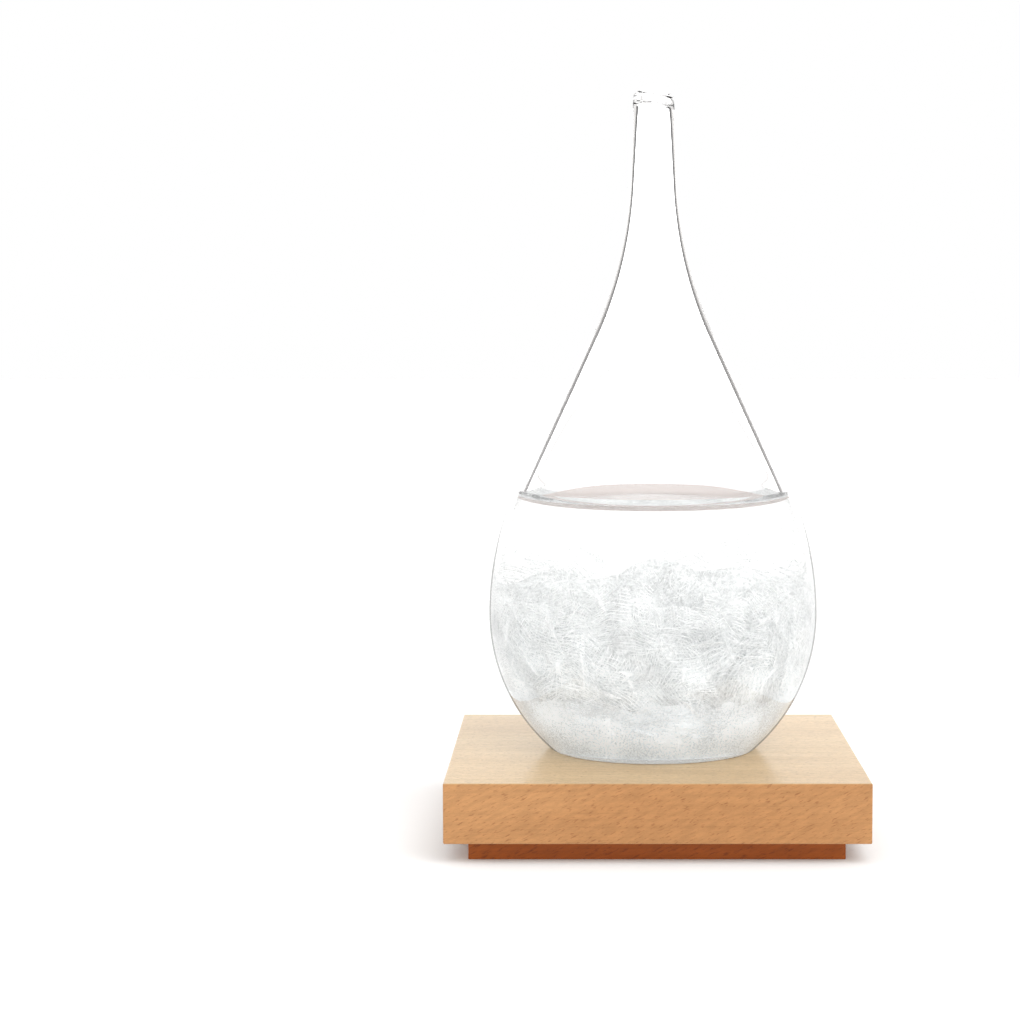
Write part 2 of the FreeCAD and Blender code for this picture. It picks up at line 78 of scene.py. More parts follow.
# slanted rim and the button on it
RIM_HEIGHT = 121.9 * MM
RIM_SLANT = math.radians(10)
SEAL_RADIUS = 3.45 * MM
SEAL_OFFSET = 0.25 * MM
SEAL_LIP = 0.3 * MM
SEAL_RISE = 2.15 * MM
STANDOFF = 0.04 * MM    # the drop's mesh starts this far above the slab's, so that they don't coincide
FUSED = 0.1 * MM        # how far the button's mesh reaches into the rim, so that no seam shows

# contents
LIQUID_LEVEL = 45.9 * MM
MENISCUS_ARC = 3.0 * MM
MENISCUS_RISE = 2.5 * MM
BED_HEIGHT = 12.5 * MM
WETTING = 0.04 * MM     # how far the liquid's mesh reaches into the glass, so that light bends once
WALL_GAP = 0.1 * MM     # the crystals stay this far off the glass
FROND_BASE = 4.0 * MM   # lowest and highest feathery crystals
FROND_TOP = 37.0 * MM
NEEDLE_WIDTH = 0.18 * MM
BED_EVEN = 5.0 * MM     # above this height the settled grains rise unevenly
BED_DRAW = 2.0 * MM     # how far they draw in from the glass at their top

# packed middle of the feathery crystals
CORE_BASE = BED_HEIGHT - 6.0 * MM
CORE_SIDE = 25.0 * MM
CORE_TOP = 30.0 * MM
CORE_GAP = 0.9 * MM         # its distance from the glass
CORE_FOOT_GAP = 2.2 * MM    # further distance at its base, which fades over the next height
CORE_FOOT = 7.0 * MM
CORE_MIDDLE = 14.0 * MM     # its lumps stand away from this height on the axis
HILL_START = 18.0 * MM      # from here up its top rises and falls in hills
HILL_HEIGHT = 6.0 * MM

# fine crystals in front of it and above it
BRUSHES = 640
HAZE_NEEDLES = 22000
FINE_BASE = 6.0 * MM        # where both start
BRUSH_SPREAD = 24.0 * MM    # heights over which each is spread
HAZE_SPREAD = 31.0 * MM
BRUSH_SMALL = 24.0 * MM     # above this height brushes and feathers are smaller
SMALL_SHARE = 0.6           # and have this share of their size
GOLDEN_TURN = 0.618034      # share of a turn from one brush to the next, which never repeats

# least and most of each, in millimetres
BRUSH_LENGTHS = (5.0, 9.5)
FEATHER_LENGTHS = (4.0, 7.5)
HAZE_LENGTHS = (1.0, 2.6)
HAZE_WIDTHS = (0.05, 0.09)

# how much clear glass and liquid bend light
GLASS_BEND = 1.5
LIQUID_BEND = 1.36

FACETS = 192            # round the glass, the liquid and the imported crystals
CREASE = math.radians(35)
WORLD_LIGHT = 1.2       # how much brighter the studio lights the object than it shows itself


# ---------------------------------------------------------------- meshes

def polar(centre, radius, angle):
    """The point (radius, height) at an angle on a circle in the half section."""
    return (centre[0] + radius * math.cos(angle), centre[1] + radius * math.sin(angle))


def arc(centre, radius, first, last, steps):
    """Points along an arc, both ends included."""
    return [polar(centre, radius, first + (last - first) * i / steps) for i in range(steps + 1)]


def stretch(start, end, steps):
    """Points along a straight line, its ends left out."""
    return [
        (start[0] + (end[0] - start[0]) * i / steps, start[1] + (end[1] - start[1]) * i / steps)
        for i in range(1, steps)
    ]


LOWER_CENTRE = (BELLY_RADIUS - LOWER_ARC, BELLY_HEIGHT)
UPPER_CENTRE = (BELLY_RADIUS - UPPER_ARC, BELLY_HEIGHT)


def shoulder_centre():
    """The centre of the hollow shoulder arc, found from the flank and the neck it joins."""
    neck_top = (NECK_RADIUS, NECK_HEIGHT - RIM_ROUND)
    start = polar(UPPER_CENTRE, UPPER_ARC + SHOULDER_ARC, FLANK_ANGLE)
    aim = polar(neck_top, SHOULDER_ARC, NECK_TAPER)
    normal = (math.cos(NECK_TAPER), math.sin(NECK_TAPER))
    gap = (start[0] - aim[0]) * normal[0] + (start[1] - aim[1]) * normal[1]
    along = (-math.sin(FLANK_ANGLE), math.cos(FLANK_ANGLE))
    run = -gap / (along[0] * normal[0] + along[1] * normal[1])
    return (start[0] + run * along[0], start[1] + run * along[1])


SHOULDER_CENTRE = shoulder_centre()


def belly(inset, base, corner, last, steps=48):
    """The half section from the axis at a flat base, up round the belly to an angle."""
    radius = LOWER_ARC - inset
    reach = radius - corner
    drop = BELLY_HEIGHT - base - corner
    centre = (LOWER_CENTRE[0] + math.sqrt(reach * reach - drop * drop), base + corner)
    turn = -math.asin(drop / reach)
    points = [(0.0, base)] + stretch((0.0, base), (centre[0], base), 12)
    points += arc(centre, corner, -math.pi / 2, turn, 14)
    points += arc(LOWER_CENTRE, radius, turn, 0, steps)[1:]
    points += arc(UPPER_CENTRE, UPPER_ARC - inset, 0, last, steps)[1:]
    return points


def flank_lean(inset, shoulder_radius):
    """The lean of the straight flank between the belly and the shoulder."""
    across = SHOULDER_CENTRE[0] - UPPER_CENTRE[0]
    up = SHOULDER_CENTRE[1] - UPPER_CENTRE[1]
    reach = UPPER_ARC - inset + shoulder_radius
    run = math.sqrt(across * across + up * up - reach * reach)
    return math.atan2(up, across) - math.atan2(run, reach)


def neck(inset, shoulder_radius, top):
    """The half section from the end of the belly, up the flank, shoulder and neck to a height."""
    lean = flank_lean(inset, shoulder_radius)
    start = polar(UPPER_CENTRE, UPPER_ARC - inset, lean)
    shoulder = arc(SHOULDER_CENTRE, shoulder_radius, lean + math.pi, NECK_TAPER + math.pi, 40)
    foot = shoulder[-1]
    end = (foot[0] - (top - foot[1]) * math.tan(NECK_TAPER), top)
    return stretch(start, shoulder[0], 20) + shoulder + stretch(foot, end, 24) + [end]


def glass_section():
    """The closed half section of the drop's glass wall, up the outside and down the inside."""
    outside = belly(0.0, STANDOFF, HEEL_ARC, FLANK_ANGLE)
    rim_centre = (NECK_RADIUS - RIM_ROUND * math.cos(NECK_TAPER), NECK_HEIGHT - RIM_ROUND)
    corner = polar(rim_centre, RIM_ROUND, NECK_TAPER)
    outside += neck(0.0, SHOULDER_ARC, corner[1])[:-1]
    outside += arc(rim_centre, RIM_ROUND, NECK_TAPER, math.pi / 2, 8)
    radius = SHOULDER_ARC + NECK_WALL
    inside = belly(BELLY_WALL, FLOOR_WALL, FLOOR_ARC, flank_lean(BELLY_WALL, radius))
    curl_base = CURL_HEIGHT - CURL_ARC * (1 - math.sin(NECK_TAPER))
    inside += neck(BELLY_WALL, radius, curl_base)
    curl_centre = polar(inside[-1], -CURL_ARC, NECK_TAPER)
    inside += arc(curl_centre, CURL_ARC, NECK_TAPER, math.pi / 2, 10)[1:]
    inside += stretch(inside[-1], (curl_centre[0], NECK_HEIGHT), 4)
    inside.append((curl_centre[0], NECK_HEIGHT))
    return outside + inside[::-1]


def inner_radius(height):
    """The inside radius of the belly at a height above the slab, under the flank."""
    low = height < BELLY_HEIGHT
    centre, radius = (LOWER_CENTRE, LOWER_ARC) if low else (UPPER_CENTRE, UPPER_ARC)
    rise = height - BELLY_HEIGHT
    return centre[0] + math.sqrt(max((radius - BELLY_WALL) ** 2 - rise * rise, 0.0))


def lathe(name, section, segments=FACETS, place=lambda p: p):
    """A closed solid from a half section that starts and ends on the axis."""
    mesh = bpy.data.meshes.new(name)
    rings = section[1:-1]
    points = [(0.0, 0.0, section[0][1])]
    for radius, height in rings:
        for i in range(segments):
            angle = 2 * math.pi * i / segments
            points.append((radius * math.cos(angle), radius * math.sin(angle), height))
    points.append((0.0, 0.0, section[-1][1]))
    faces = []
    last = len(points) - 1
    for i in range(segments):
        j = (i + 1) % segments
        faces.append((0, 1 + j, 1 + i))
        for ring in range(len(rings) - 1):
            low = 1 + ring * segments
            high = low + segments
            faces.append((low + i, low + j, high + j, high + i))
        top = 1 + (len(rings) - 1) * segments
        faces.append((last, top + i, top + j))
    lifted = [place(Vector(p)) for p in points]
    mesh.from_pydata(lifted, [], faces)
    return finish_mesh(name, mesh)


def finish_mesh(name, mesh):
    """Turns a mesh's faces outwards, shades it smooth between creases and adds it to the scene."""
    work = bmesh.new()
    work.from_mesh(mesh)
    bmesh.ops.recalc_face_normals(work, faces=work.faces)
    work.to_mesh(mesh)
    work.free()
    for face in mesh.polygons:
        face.use_smooth = True
    mesh.set_sharp_from_angle(angle=CREASE)
    piece = bpy.data.objects.new(name, mesh)
    bpy.context.collection.objects.link(piece)
    return piece


# ---------------------------------------------------------------- materials

FIGURE_SLANT = (0, math.radians(24), 0)     # the wood's figure and flecks lean this much
FLECK_SHARE = 0.55
BOUNCE_SHARE = 0.6

SLAB_WOOD = {
    "pale": (0.56, 0.285, 0.115),
    "deep": (0.49, 0.235, 0.088),
    "fleck": (0.22, 0.07, 0.025),
    # painted sheen: faces that point up are made paler and yellower by these factors
    "top": (1.17, 1.6, 2.0),
    "bounce": (0.50, 0.46, 0.41),
    "gloss": 0.42,
    "sheen": 0.12,
}
# the foot's beech: partly a darker board, partly painted shade under the slab's overhang
FOOT_WOOD = {
    "pale": (0.43, 0.105, 0.011),
    "deep": (0.345, 0.075, 0.007),
    "fleck": (0.12, 0.02, 0.004),
    "top": (1.0, 1.0, 1.0),
    "bounce": (0.20, 0.14, 0.11),
    "gloss": 0.55,
    "sheen": 0.0,
}

FROST_PATCH = 7.0 * MM
FROST_GLOW = (0.93, 0.99, 1.0)
# painted light by height: a cool tint low down against the orange light thrown up by the slab, and
# brighter and darker bands above
FROST_HEIGHT_PAINTED_LIGHT = [         # from the slab's top to the highest crystals
    (0.04, (0.93, 0.965, 1.0)),
    (0.3, (0.965, 0.97, 0.98)),
    (0.38, 1.04),
    (0.55, 0.96),
    (0.7, 0.90),
    (0.82, 0.95),
    (0.93, 1.05),
]


def material(name):
    """A new material, its node tree and its Principled shader."""
    made = bpy.data.materials.new(name)
    made.use_nodes = True
    tree = made.node_tree
    return made, tree, tree.nodes["Principled BSDF"]


def node(tree, kind, inputs=(), **settings):
    """A new node with its settings, and its inputs set or linked."""
    made = tree.nodes.new(kind)
    for key, value in settings.items():
        setattr(made, key, value)
    for key, value in dict(inputs).items():
        put(tree, made.inputs[key], value)
    return made


def put(tree, socket, value):
    """Links a socket to another, or sets its value."""
    if isinstance(value, bpy.types.NodeSocket):
        tree.links.new(value, socket)
    else:
        socket.default_value = value


def texture_place(tree, output="Object"):
    """The object's own coordinates, or another of the coordinates that a texture can take."""
    return node(tree, "ShaderNodeTexCoord").outputs[output]


def axis_of(tree, vector, axis):
    """One axis of a vector."""
    return node(tree, "ShaderNodeSeparateXYZ", {"Vector": vector}).outputs[axis]


def fit_range(tree, value, low, high=1.0, to_low=0.0, to_high=1.0):
    """A value's place between two limits, from 0 to 1 or between two other values."""
    made = node(tree, "ShaderNodeMapRange", {
        "Value": value, "From Min": low, "From Max": high, "To Min": to_low, "To Max": to_high,
    })
    return made.outputs["Result"]


def combine(tree, operation, first, second):
    """The result of an operation on two values."""
    return node(tree, "ShaderNodeMath", {0: first, 1: second}, operation=operation).outputs[0]


def cover(tree, share, under, over):
    """A mix of two shaders."""
    return node(tree, "ShaderNodeMixShader", {0: share, 1: under, 2: over}).outputs[0]


def ramp(tree, factor, stops):
    """A colour ramp through (place, grey or colour) stops."""
    made = tree.nodes.new("ShaderNodeValToRGB")
    elements = made.color_ramp.elements
    while len(elements) < len(stops):
        elements.new(1.0)
    for element, (place, colour) in zip(elements, stops):
        element.position = place
        grey = isinstance(colour, (int, float))
        element.color = (colour, colour, colour, 1) if grey else (*colour, 1)
    tree.links.new(factor, made.inputs["Fac"])
    return made.outputs["Color"]


def show(tree, shader):
    """Makes a shader the material's surface."""
    tree.links.new(shader, tree.nodes["Material Output"].inputs["Surface"])


def let_light_in(tree, shader):
    """Lets lamps and bounced light straight through a clear surface, so that it lights what it holds."""
    path = node(tree, "ShaderNodeLightPath").outputs
    either = combine(tree, "MAXIMUM", path["Is Shadow Ray"], path["Is Diffuse Ray"])
    clear = node(tree, "ShaderNodeBsdfTransparent").outputs[0]
    show(tree, cover(tree, either, shader, clear))


def glass_shader(shader, bend):
    """Sets a Principled shader to a smooth clear body that bends light by an index."""
    shader.inputs["Base Color"].default_value = (1, 1, 1, 1)
    shader.inputs["Roughness"].default_value = 0.0
    shader.inputs["IOR"].default_value = bend
    shader.inputs["Specular Tint"].default_value = (0.25, 0.25, 0.25, 1)
    shader.inputs["Transmission Weight"].default_value = 1.0


def clear_glass(name):
    """Clear glass with no marks."""
    made, tree, shader = material(name)
    glass_shader(shader, GLASS_BEND)
    let_light_in(tree, shader.outputs[0])
    return made


def lined_glass(name, painted_edge_share, fade, low, high):
    """Clear glass with painted shade: dark lines along its edges where its wall is seen end on.

    The lines start at a facing of low by the liquid and of high at the top of the neck, and reach
    their full share of dark over the fade.
    """
    made, tree, shader = material(name)
    glass_shader(shader, GLASS_BEND)
    facing = node(tree, "ShaderNodeLayerWeight", {"Blend": 0.5}).outputs["Facing"]
    height = axis_of(tree, texture_place(tree), "Z")
    start = fit_range(tree, height, SLAB_TOP + LIQUID_LEVEL, SLAB_TOP + RIM_HEIGHT, low, high)
    edge = fit_range(tree, facing, start)
    share = ramp(tree, edge, [(0.0, 0.0), (fade, painted_edge_share), (1.0, painted_edge_share)])
    # painted shade: a near-black surface mixed in at the glass's edges
    dark = node(tree, "ShaderNodeBsdfDiffuse", {"Color": (0.02, 0.02, 0.02, 1)}).outputs[0]
    let_light_in(tree, cover(tree, share, shader.outputs[0], dark))
    return made


def clear_liquid(name, meniscus_painted_shade=0.0):
    """The clear liquid, which bends light as water with alcohol does, with a share of painted shade."""
    made, tree, shader = material(name)
    glass_shader(shader, LIQUID_BEND)
    shown = shader.outputs[0]
    if meniscus_painted_shade:
        # painted shade: a dull dark surface mixed in where the liquid climbs the glass
        dull = node(tree, "ShaderNodeBsdfDiffuse", {"Color": (0.50, 0.42, 0.39, 1)}).outputs[0]
        shown = cover(tree, meniscus_painted_shade, shown, dull)
    let_light_in(tree, shown)
    return made


def noise(tree, place, scale, detail=4.0, roughness=0.55):
    """A noise factor over a coordinate."""
    made = node(
        tree, "ShaderNodeTexNoise",
        {"Vector": place, "Scale": scale, "Detail": detail, "Roughness": roughness},
    )
    return made.outputs["Fac"]


def stretched(tree, scale, turn=(0, 0, 0)):
    """The object's own coordinates, turned and scaled along each axis."""
    turned = node(tree, "ShaderNodeMapping", {"Vector": texture_place(tree), "Rotation": turn})
    return node(tree, "ShaderNodeMapping", {"Vector": turned.outputs[0], "Scale": scale}).outputs[0]


def mix(tree, factor, first, second, blend="MIX"):
    """A mix of two colours or sockets."""
    made = node(tree, "ShaderNodeMix", data_type="RGBA", blend_type=blend)
    put(tree, made.inputs[0], factor)
    for socket, value in ((made.inputs[6], first), (made.inputs[7], second)):
        put(tree, socket, value if isinstance(value, bpy.types.NodeSocket) else (*value, 1))
    return made.outputs[2]


def shaded(tree, colour, factor, stops):
    """A colour multiplied by a ramp."""
    return mix(tree, 1.0, colour, ramp(tree, factor, stops), "MULTIPLY")


def bump(tree, shader, height, distance, strength=1.0):
    """Raises a surface by a height factor times a distance."""
    made = node(tree, "ShaderNodeBump", {"Height": height, "Distance": distance, "Strength": strength})
    tree.links.new(made.outputs[0], shader.inputs["Normal"])


def glow(shader, colour, strength):
    """Makes a Principled shader give off light."""
    shader.inputs["Emission Color"].default_value = (*colour, 1)
    shader.inputs["Emission Strength"].default_value = strength


def simple(name, colour, roughness):
    """A plain dull material and its Principled shader."""
    made, tree, shader = material(name)
    shader.inputs["Base Color"].default_value = (*colour, 1)
    shader.inputs["Roughness"].default_value = roughness
    return made, shader


def grain(tree, per_mm, detail, roughness=0.55, turn=(0, 0, 0)):
    """A noise with so many features in a millimetre along each axis."""
    return noise(tree, stretched(tree, [count / MM for count in per_mm], turn), 1.0, detail, roughness)


def beech(name, pale, deep, fleck, top, bounce, gloss, sheen):
    """Steamed beech: long soft grain along X with short dark flecks on every face.

    Faces that point up are multiplied by top, a painted sheen that makes them paler and yellower, and
    what the wood throws on its surroundings is drawn towards the bounce colour.
    """
    made, tree, shader = material(name)
    broad = grain(tree, (0.018, 0.09, 0.07), 3.0)
    lines = grain(tree, (0.03, 1.6, 1.6), 5.0, 0.6)
    figure = grain(tree, (0.32, 1.5, 1.5), 2.0, 0.5, FIGURE_SLANT)
    dashes = grain(tree, (0.75, 3.2, 3.6), 2.0, 0.5, FIGURE_SLANT)
    pores = grain(tree, (2.0, 9.0, 9.0), 2.0, 0.6)
    colour = mix(tree, ramp(tree, broad, [(0.32, 0.0), (0.68, 1.0)]), pale, deep)
    colour = shaded(tree, colour, lines, [(0.25, 0.86), (0.5, 1.0), (0.8, 1.06)])
    colour = shaded(tree, colour, figure, [(0.35, 0.91), (0.65, 1.05)])
    marks = ramp(tree, dashes, [(0.58, 0.0), (0.70, 1.0)])
    colour = mix(tree, combine(tree, "MULTIPLY", marks, FLECK_SHARE), colour, fleck)
    colour = shaded(tree, colour, pores, [(0.3, 0.93), (0.6, 1.02)])
    # painted sheen: faces that point up are made paler and yellower
    upward = fit_range(tree, axis_of(tree, texture_place(tree, "Normal"), "Z"), 0.4, 0.9)
    colour = mix(tree, upward, colour, mix(tree, 1.0, colour, top, "MULTIPLY"))
    bounced = node(tree, "ShaderNodeLightPath").outputs["Is Diffuse Ray"]
    softened = combine(tree, "MULTIPLY", bounced, BOUNCE_SHARE)
    put(tree, shader.inputs["Base Color"], mix(tree, softened, colour, bounce))
    polish = ramp(tree, lines, [(0.2, gloss + 0.08), (0.8, gloss - 0.04)])
    put(tree, shader.inputs["Roughness"], polish)
    shader.inputs["Specular IOR Level"].default_value = 0.25
    shader.inputs["Coat Weight"].default_value = 0.12
    shader.inputs["Coat Roughness"].default_value = 0.15
    shader.inputs["Sheen Weight"].default_value = sheen
    shader.inputs["Sheen Roughness"].default_value = 0.35
    shader.inputs["Sheen Tint"].default_value = (0.9, 1.0, 0.95, 1)
    bump(tree, shader, lines, 0.02 * MM, 0.6)
    return made


def frost(name, dark, light, grain_size, depth, roughness, strength, scatter=0.0):
    """Packed white crystals: irregular light and dark grains raised by a depth.

    A glow of some strength stands for the light that real crystals pass on from one to the next,
    and scatter is how far light spreads under the surface.
    """
    made, tree, shader = material(name)
    place = texture_place(tree)
    grains = noise(tree, place, 1 / grain_size, 3.0, 0.7)
    patches = noise(tree, place, 1 / FROST_PATCH, 3.0, 0.5)
    colour = mix(tree, ramp(tree, grains, [(0.35, 0.0), (0.65, 1.0)]), dark, light)
    colour = shaded(tree, colour, patches, [(0.3, 0.87), (0.7, 1.07)])
    # painted light and shade by height over the crystals
    rise = fit_range(tree, axis_of(tree, place, "Z"), SLAB_TOP, SLAB_TOP + FROND_TOP)
    colour = shaded(tree, colour, rise, FROST_HEIGHT_PAINTED_LIGHT)
    put(tree, shader.inputs["Base Color"], colour)
    shader.inputs["Roughness"].default_value = roughness
    put(tree, shader.inputs["Emission Color"], mix(tree, 1.0, colour, FROST_GLOW, "MULTIPLY"))
    shader.inputs["Emission Strength"].default_value = strength
    if scatter:
        shader.inputs["Subsurface Weight"].default_value = 1.0
        shader.inputs["Subsurface Radius"].default_value = (1.0, 1.0, 1.0)
        shader.inputs["Subsurface Scale"].default_value = scatter
    bump(tree, shader, grains, depth)
    return made


# ---------------------------------------------------------------- the glass drop

def on_slab(p):
    """Raises a point from the slab's top."""
    return Vector((p.x, p.y, p.z + SLAB_TOP))


def slanted(p):
    """Slants the top of the neck, low towards +X, and raises the point from the slab's top."""
    start = CURL_HEIGHT - 2.5 * CURL_ARC
    share = min(max((p.z - start) / (RIM_HEIGHT - start), 0.0), 1.0)
    share = share * share * (3 - 2 * share)
    sunk = (NECK_HEIGHT - RIM_HEIGHT) * share
    return on_slab(Vector((p.x, p.y, p.z - p.x * math.tan(RIM_SLANT) * share - sunk)))


def seal_section():
    """The half section of the glass button, from the middle of its underside to its top."""
    edge = SEAL_RADIUS - SEAL_LIP
    rise = SEAL_RISE - SEAL_LIP
    dome = (edge * edge + rise * rise - SEAL_LIP * SEAL_LIP) / (2 * (rise - SEAL_LIP))
    centre = (0.0, SEAL_RISE - dome)
    turn = math.atan2(SEAL_LIP - centre[1], edge)
    points = [(0.0, 0.0)] + stretch((0.0, 0.0), (edge, 0.0), 12)
    points += arc((edge, SEAL_LIP), SEAL_LIP, -math.pi / 2, turn, 8)
    points += arc(centre, dome, turn, math.pi / 2, 24)[1:-1]
    return points + [(0.0, SEAL_RISE)]


def on_rim(p):
    """Puts a point of the button on the slanted rim."""
    turned = Matrix.Rotation(RIM_SLANT, 3, "Y") @ (p - Vector((0, 0, FUSED)))
    drop = SEAL_OFFSET * math.tan(RIM_SLANT)
    return turned + Vector((SEAL_OFFSET, 0, SLAB_TOP + RIM_HEIGHT - drop))


def joint_material():
    """The hidden joint where the button is fused to the rim: light goes straight on."""
    made, tree, _ = material("fused_joint")
    show(tree, node(tree, "ShaderNodeBsdfTransparent").outputs[0])
    return made


def underside_material():
    """The drop's underside, painted pale and glowing, that shows as a pale ring through the glass above.
    """
    made, shader = simple("glass_underside_painted_glow", (0.55, 0.53, 0.50), 0.6)
    # painted light: the underside glows pale
    glow(shader, (1.0, 0.98, 0.95), 0.22)
    return made


def glass_slot(face):
    """Which of the drop's materials a face takes: outer, inner, plain, underside or joint."""
    outer, inner, plain, underside, joint = range(5)
    x, y, z = face.center
    if face.normal.x * x + face.normal.y * y < 0:
        dry = SLAB_TOP + LIQUID_LEVEL + MENISCUS_RISE < z < SLAB_TOP + CURL_HEIGHT - CURL_ARC
        return inner if dry else plain
    if z < SLAB_TOP + 2 * STANDOFF:
        return underside
    if z > SLAB_TOP + RIM_HEIGHT - RIM_ROUND:
        upward = face.normal.z > 0.6
        return joint if upward and math.hypot(x, y) < SEAL_RADIUS else plain
    return outer


def make_glass():
    """The drop and the button that closes it."""
    outer = lined_glass("clear_glass", painted_edge_share=0.42, fade=0.06, low=0.86, high=0.62)
    inner = lined_glass("clear_glass_inside", painted_edge_share=0.97, fade=0.04, low=0.81, high=0.52)
    plain = clear_glass("clear_glass_plain")
    joint = joint_material()
    vessel = lathe("glass_vessel_smooth", glass_section(), place=slanted)
    for glass in (outer, inner, plain, underside_material(), joint):
        vessel.data.materials.append(glass)
    for face in vessel.data.polygons:
        face.material_index = glass_slot(face)
    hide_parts("glass_vessel")
    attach(vessel, "vessel")
    seal = lathe("neck_seal_smooth", seal_section(), FACETS // 2, on_rim)
    seal.data.materials.append(plain)
    seal.data.materials.append(joint)
    for face in seal.data.polygons:
        if face.normal.z < -0.3:    # its underside, which is fused to the rim
            face.material_index = 1
    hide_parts("neck_seal")
    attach(seal, "vessel")


def liquid_section():
    """The liquid from the floor to its surface, reaching a little into the glass round it."""
    radius = UPPER_ARC - BELLY_WALL
    turn = math.acos((MENISCUS_ARC - MENISCUS_RISE) / MENISCUS_ARC)
    last = math.asin((LIQUID_LEVEL + MENISCUS_RISE - BELLY_HEIGHT) / radius)
    wall_point = polar(UPPER_CENTRE, radius, last)
    centre = (wall_point[0] - MENISCUS_ARC * math.sin(turn), LIQUID_LEVEL + MENISCUS_ARC)
    points = belly(BELLY_WALL - WETTING, FLOOR_WALL - WETTING, FLOOR_ARC, last)
    points += arc(centre, MENISCUS_ARC, turn - math.pi / 2, -math.pi / 2, 12)
    points += stretch((centre[0], LIQUID_LEVEL), (0.0, LIQUID_LEVEL), 20)
    return points + [(0.0, LIQUID_LEVEL)]


def make_liquid():
    """The liquid, with painted shade on the part of its surface that climbs the glass."""
    liquid = lathe("storm_liquid_smooth", liquid_section(), place=on_slab)
    liquid.data.materials.append(clear_liquid("clear_liquid"))
    liquid.data.materials.append(clear_liquid("liquid_edge_painted_shade", meniscus_painted_shade=0.6))
    for face in liquid.data.polygons:
        climbs = 0.55 < face.normal.z < 0.995       # neither level nor steep
        if climbs and face.center.z > SLAB_TOP + LIQUID_LEVEL - WETTING:
            face.material_index = 1
    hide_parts("storm_liquid")
    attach(liquid, "vessel")


# ---------------------------------------------------------------- crystals

def inside_glass(p):
    """Moves a point, its height taken from the slab, in until it is clear of the glass."""
    limit = inner_radius(min(max(p.z, FLOOR_WALL + WALL_GAP), LIQUID_LEVEL)) - WALL_GAP
    reach = math.hypot(p.x, p.y)
    if reach > limit:
        return Vector((p.x * limit / reach, p.y * limit / reach, p.z))
    return p


def bed_section():
    """The half section of the settled grains, from the drop's floor to their level top."""
    base = FLOOR_WALL + WALL_GAP
    turn = -math.asin((BELLY_HEIGHT - BED_HEIGHT) / (LOWER_ARC - BELLY_WALL))
    radius = LOWER_ARC - BELLY_WALL - WALL_GAP
    reach = radius - FLOOR_ARC
    drop = BELLY_HEIGHT - base - FLOOR_ARC
    corner = (LOWER_CENTRE[0] + math.sqrt(reach * reach - drop * drop), base + FLOOR_ARC)
    heel = -math.asin(drop / reach)
    section = [(0.0, base)] + stretch((0.0, base), (corner[0], base), 20)
    section += arc(corner, FLOOR_ARC, -math.pi / 2, heel, 8)
    section += arc(LOWER_CENTRE, radius, heel, turn, 24)[1:]
    return section + stretch(section[-1], (0.0, BED_HEIGHT), 60) + [(0.0, BED_HEIGHT)]


def make_bed():
    """The settled grains: they fill the drop's floor and rise a little unevenly at the top."""

    def uneven(p):
        share = min(max((p.z - BED_EVEN) / (BED_HEIGHT - BED_EVEN), 0.0), 1.0)
        lump = mnoise.noise(Vector((p.x, p.y, 0)) * 160) * 1.6 * MM
        speck = mnoise.noise(p * 1500) * 0.25 * MM
        inwards = 1 - share * BED_DRAW / BELLY_RADIUS
        raised = Vector((p.x * inwards, p.y * inwards, p.z + share * (lump + speck)))
        return on_slab(inside_glass(raised))

    bed = lathe("crystal_bed_grains", bed_section(), 160, uneven)
    bed.visible_shadow = False      # loose wet grains let light through
    bed.data.materials.append(frost(
        "crystal_grains", dark=(0.55, 0.56, 0.56), light=(0.98, 0.98, 0.98),
        grain_size=0.3 * MM, depth=0.22 * MM, roughness=0.6, strength=0.44, scatter=0.8 * MM,
    ))
    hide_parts("crystal_bed")
    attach(bed, "vessel")


def core_section():
    """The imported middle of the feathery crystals, from inside the bed up to a low dome."""
    low = CORE_BASE
    side = [low + (CORE_SIDE - low) * i / 32 for i in range(33)]
    gaps = [CORE_GAP + CORE_FOOT_GAP * max(1 - (z - low) / CORE_FOOT, 0.0) for z in side]
    points = [(0.0, low)] + stretch((0.0, low), (inner_radius(low) - gaps[0], low), 12)
    points += [(inner_radius(z) - gap, z) for z, gap in zip(side, gaps)]
    reach, start = points[-1]
    for i in range(1, 40):
        angle = math.pi / 2 * i / 40
        points.append((reach * math.cos(angle), start + (CORE_TOP - start) * math.sin(angle)))
    return points + [(0.0, CORE_TOP)]


def make_core():
    """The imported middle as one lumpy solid, with hills on its top."""

    def lumpy(p):
        if p.z < CORE_BASE + 1 * MM:
            return on_slab(p)
        share = max((p.z - HILL_START) / (CORE_TOP - HILL_START), 0.0)
        p = p + Vector((0, 0, mnoise.noise(Vector((p.x, p.y, 0)) * 140) * share * HILL_HEIGHT))
        out = Vector((p.x, p.y, 0.6 * (p.z - CORE_MIDDLE)))
        out.normalize()
        lump = mnoise.fractal(p * 150, 1.0, 2.0, 3) * MM
        return on_slab(inside_glass(p + out * (lump - 0.3 * MM)))

    core = lathe("crystal_core", core_section(), FACETS, lumpy)
    # painted shade: the core's grains are darker than the fine crystals in front of it, for the depth
    # between them
    core.data.materials.append(frost(
        "crystal_core", dark=(0.55, 0.56, 0.56), light=(0.81, 0.82, 0.82),
        grain_size=0.7 * MM, depth=0.15 * MM, roughness=0.6, strength=0.19,
    ))
    return core


def shell_point(angle, height, depth):
    """A point inside the drop at a depth from its glass, its height taken from the slab."""
    height = min(max(height, FROND_BASE), FROND_TOP)
    reach = inner_radius(height) - max(depth, WALL_GAP)
    return Vector((reach * math.cos(angle), reach * math.sin(angle), height))


